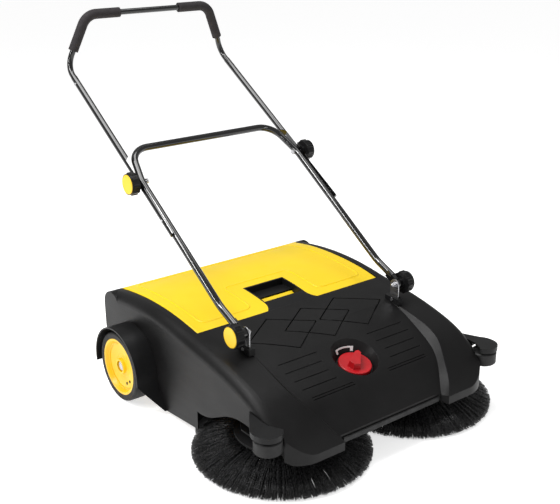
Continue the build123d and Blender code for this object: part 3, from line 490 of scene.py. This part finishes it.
BEAD_SECTION = ((-1, -0.5), (-0.7, 0.55), (0, 1), (0.7, 0.55), (1, -0.5))     # across, up
PATH_SPACING = 8 * MM
CORNER_STEPS = 8


def raised_line(name, node, corners, radius, half_width, height, material, body):
    """A low rounded bead that follows an outline over the top of a CAD node."""
    path = rounded_path(corners, radius)
    hits = [drop_onto(node, p.x, p.y) for p in path]
    bm = bmesh.new()
    rings = []
    count = len(hits)
    for i, (place, normal) in enumerate(hits):
        along = (hits[(i + 1) % count][0] - hits[i - 1][0]).normalized()
        side = normal.cross(along).normalized()
        rings.append([bm.verts.new(place + side * u * half_width + normal * v * height)
                      for u, v in BEAD_SECTION])
    join_rings(bm, rings, endless=True)
    point_outwards(bm)
    add_piece(name, bm, material, body)


def lid_border():
    """A raised line round the lid's top that goes round the notch of the grip insert."""
    inset = 34 * MM
    lid_low, lid_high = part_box("container_lid")
    insert_low, insert_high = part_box("grip_insert")
    front, rear = lid_low.y + inset, lid_high.y - inset
    notch_rear = insert_high.y + inset
    half = [(insert_high.x + inset * 0.8, notch_rear), (insert_high.x + inset * 0.8, front),
            (lid_high.x - inset, front), (lid_high.x - inset, rear)]
    other_half = [(lid_low.x + inset, front), (insert_low.x - inset * 0.8, front),
                  (insert_low.x - inset * 0.8, notch_rear)]
    corners = other_half + half + [(lid_low.x + inset, rear)]
    raised_line("lid_border", "container_lid", corners, 22 * MM, 4.0 * MM, 1.5 * MM,
                LID_YELLOW, "container")


bpy.context.view_layer.update()
lid_border()


# ---------------------------------------------------------------- wheel faces
RIM_BEADS = (          # radius on the rim, depth from its outer face, thickness
    (62.5 * MM, -9.2 * MM, 1.6 * MM),
    (27 * MM, -14.2 * MM, 1.4 * MM),
)
BEAD_STEPS = 96
BEAD_SIDES = 8
# dark cups in the rim's dish: painted shade that stands in for two holes
HOLE_SHADE_PROFILE = (       # radius, depth from the rim's outer face
    (4.2 * MM, -13.0 * MM), (4.2 * MM, -11.2 * MM), (3.6 * MM, -10.8 * MM), (1.5 * MM, -11.6 * MM),
)
HOLE_SHADE_SIDES = 16
HOLE_SHADE_REACH = 50 * MM
HOLE_SHADE_ANGLES = (-0.75, -1.15)


def rim_face(side, sign):
    """Centre of a rim and the distance of its outer face from the middle plane."""
    low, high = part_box(f"rim_{side}")
    return (low + high) / 2, high.x if sign > 0 else -low.x


def circle(bm, x, y, z, radius, sides):
    """A ring of vertices round an axis along x."""
    turns = [2 * math.pi * k / sides for k in range(sides)]
    return [bm.verts.new((x, y + radius * math.cos(a), z + radius * math.sin(a))) for a in turns]


def rim_beads(side, sign):
    """A thin raised ring near the edge of a rim's dish and one round its hub."""
    centre, outer = rim_face(side, sign)
    bm = bmesh.new()
    for radius, depth, thick in RIM_BEADS:
        rings = []
        for k in range(BEAD_SIDES):
            b = 2 * math.pi * k / BEAD_SIDES
            x = sign * (outer + depth + thick * math.sin(b))
            rings.append(circle(bm, x, centre.y, centre.z, radius + thick * math.cos(b), BEAD_STEPS))
        join_rings(bm, rings, endless=True)
    point_outwards(bm)
    add_piece(f"rim_beads_{side}", bm, RIM_YELLOW, f"wheel_{side}")


def rim_hole_shades(side, sign):
    """Two small dark plugs in the rim's dish, low on the side towards the front; they are painted
    shade in place of two holes.
    """
    centre, outer = rim_face(side, sign)
    bm = bmesh.new()
    for a in HOLE_SHADE_ANGLES:
        y = centre.y - HOLE_SHADE_REACH * math.cos(a)
        z = centre.z + HOLE_SHADE_REACH * math.sin(a)
        rings = [circle(bm, sign * (outer + depth), y, z, radius, HOLE_SHADE_SIDES)
                 for radius, depth in HOLE_SHADE_PROFILE]
        join_rings(bm, rings)
        cap_ends(bm, rings)
    point_outwards(bm)
    add_piece(f"rim_plugs_{side}", bm, INNER_BLACK, f"wheel_{side}")


for side, sign in SIDES:
    rim_beads(side, sign)
    rim_hole_shades(side, sign)


# ---------------------------------------------------------------- rubber skirts behind the discs, partly painted shade
SKIRT_THICK = 3 * MM
SKIRT_STEPS = 24
SKIRT_WIDTH = 74 * MM
SKIRT_PROFILE = (      # height, how far both faces swell out there; a bead runs along the middle
    (4 * MM, 0.6 * MM), (5 * MM, 1.0 * MM), (30 * MM, 1.0 * MM), (31.5 * MM, 1.9 * MM),
    (33 * MM, 1.0 * MM), (60 * MM, 1.0 * MM), (84 * MM, 1.0 * MM), (88 * MM, 1.0 * MM),
)


def disc_shade_skirt(side, sign):
    """A curved rubber strip that closes the corner between a disc and the side wall; it is partly
    painted shade, a dark sheet that hides the glowing floor there.
    """
    low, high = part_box(f"bristles_{side}")
    centre = (low + high) / 2
    reach = (high.x - low.x) / 2 + SKIRT_GAP
    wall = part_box("housing")[1].x - 6 * MM
    first, last = (math.acos((x - abs(centre.x)) / reach) for x in (wall, wall - SKIRT_WIDTH))
    # the strip stands partly as painted shade: it covers the glowing floor seen through the corner
    inner = [(reach - swell, z) for z, swell in SKIRT_PROFILE]
    outer = [(reach + SKIRT_THICK + swell, z) for z, swell in reversed(SKIRT_PROFILE)]
    bm = bmesh.new()
    rings = []
    for i in range(SKIRT_STEPS + 1):
        a = first + (last - first) * i / SKIRT_STEPS
        rings.append([bm.verts.new((centre.x + sign * r * math.cos(a), centre.y + r * math.sin(a), z))
                      for r, z in inner + outer])
    join_rings(bm, rings)
    cap_ends(bm, rings)
    point_outwards(bm)
    add_piece(f"disc_shade_skirt_{side}", bm, RUBBER, "chassis", smooth=False)


for side, sign in SIDES:
    disc_shade_skirt(side, sign)


# ---------------------------------------------------------------- floor, light and camera
def build_stage():
    """A large white floor that glows a little, so that it stays white and its shadows stay soft."""
    bpy.ops.mesh.primitive_plane_add(size=300, location=(0, 0, 0))
    floor = bpy.context.object
    floor.name = "floor"
    s = Shader("floor_paint", (0.8, 0.8, 0.8), 0.7)
    s.colour(s.mixed(s.noise(3, 3), (0.79, 0.79, 0.79), (0.81, 0.81, 0.81)))
    s.surface.inputs["Emission Color"].default_value = (1, 1, 1, 1)
    floor.data.materials.append(s.done(Emission_Strength=0.66))


def softbox(name, place, target, width, height, power):
    """A rectangular area lamp that faces a target."""
    light = bpy.data.lights.new(name, "AREA")
    light.shape = "RECTANGLE"
    light.size = width
    light.size_y = height
    light.energy = power
    lamp = bpy.data.objects.new(name, light)
    bpy.context.scene.collection.objects.link(lamp)
    lamp.location = place
    lamp.rotation_euler = (Vector(target) - Vector(place)).to_track_quat("-Z", "Y").to_euler()
    return lamp


def build_light():
    """Soft light from above and the left, with two narrow strips for streaks on the tubes."""
    world = bpy.data.worlds.new("studio")
    bpy.context.scene.world = world
    world.use_nodes = True
    background = world.node_tree.nodes["Background"]
    background.inputs["Color"].default_value = (1, 1, 1, 1)
    background.inputs["Strength"].default_value = 0.38
    middle = (cad_low + cad_high) / 2
    softbox("key_light", (-1.3, 0.5, 3.0), middle, 1.3, 1.3, 36)
    softbox("left_strip", (-2.4, 0.3, 2.4), middle, 0.14, 2.4, 44)
    softbox("front_strip", (0.9, -3.2, 2.0), middle, 0.16, 2.2, 12)
    softbox("top_light", (0.3, 0.5, 3.2), middle, 2.0, 1.0, 30)


CAMERA_PLACE = Vector((-1.4805, -1.9668, 1.2748))
CAMERA_AZIMUTH = -38.03
CAMERA_ELEVATION = 20.27
CAMERA_LENS = 61.88


def build_camera():
    """The camera that was fitted to the view, in the frame's own axes."""
    camera = bpy.data.objects.new("camera", bpy.data.cameras.new("camera"))
    camera.data.lens = CAMERA_LENS
    camera.data.sensor_width = 36.0
    camera.location = CAMERA_PLACE
    turn = Matrix.Rotation(math.radians(CAMERA_AZIMUTH), 4, "Z")
    tilt = Matrix.Rotation(math.radians(90 - CAMERA_ELEVATION), 4, "X")
    camera.rotation_euler = (turn @ tilt).to_euler()
    bpy.context.scene.collection.objects.link(camera)
    bpy.context.scene.camera = camera


build_stage()
build_light()
build_camera()
bpy.context.scene.view_settings.view_transform = "Standard"
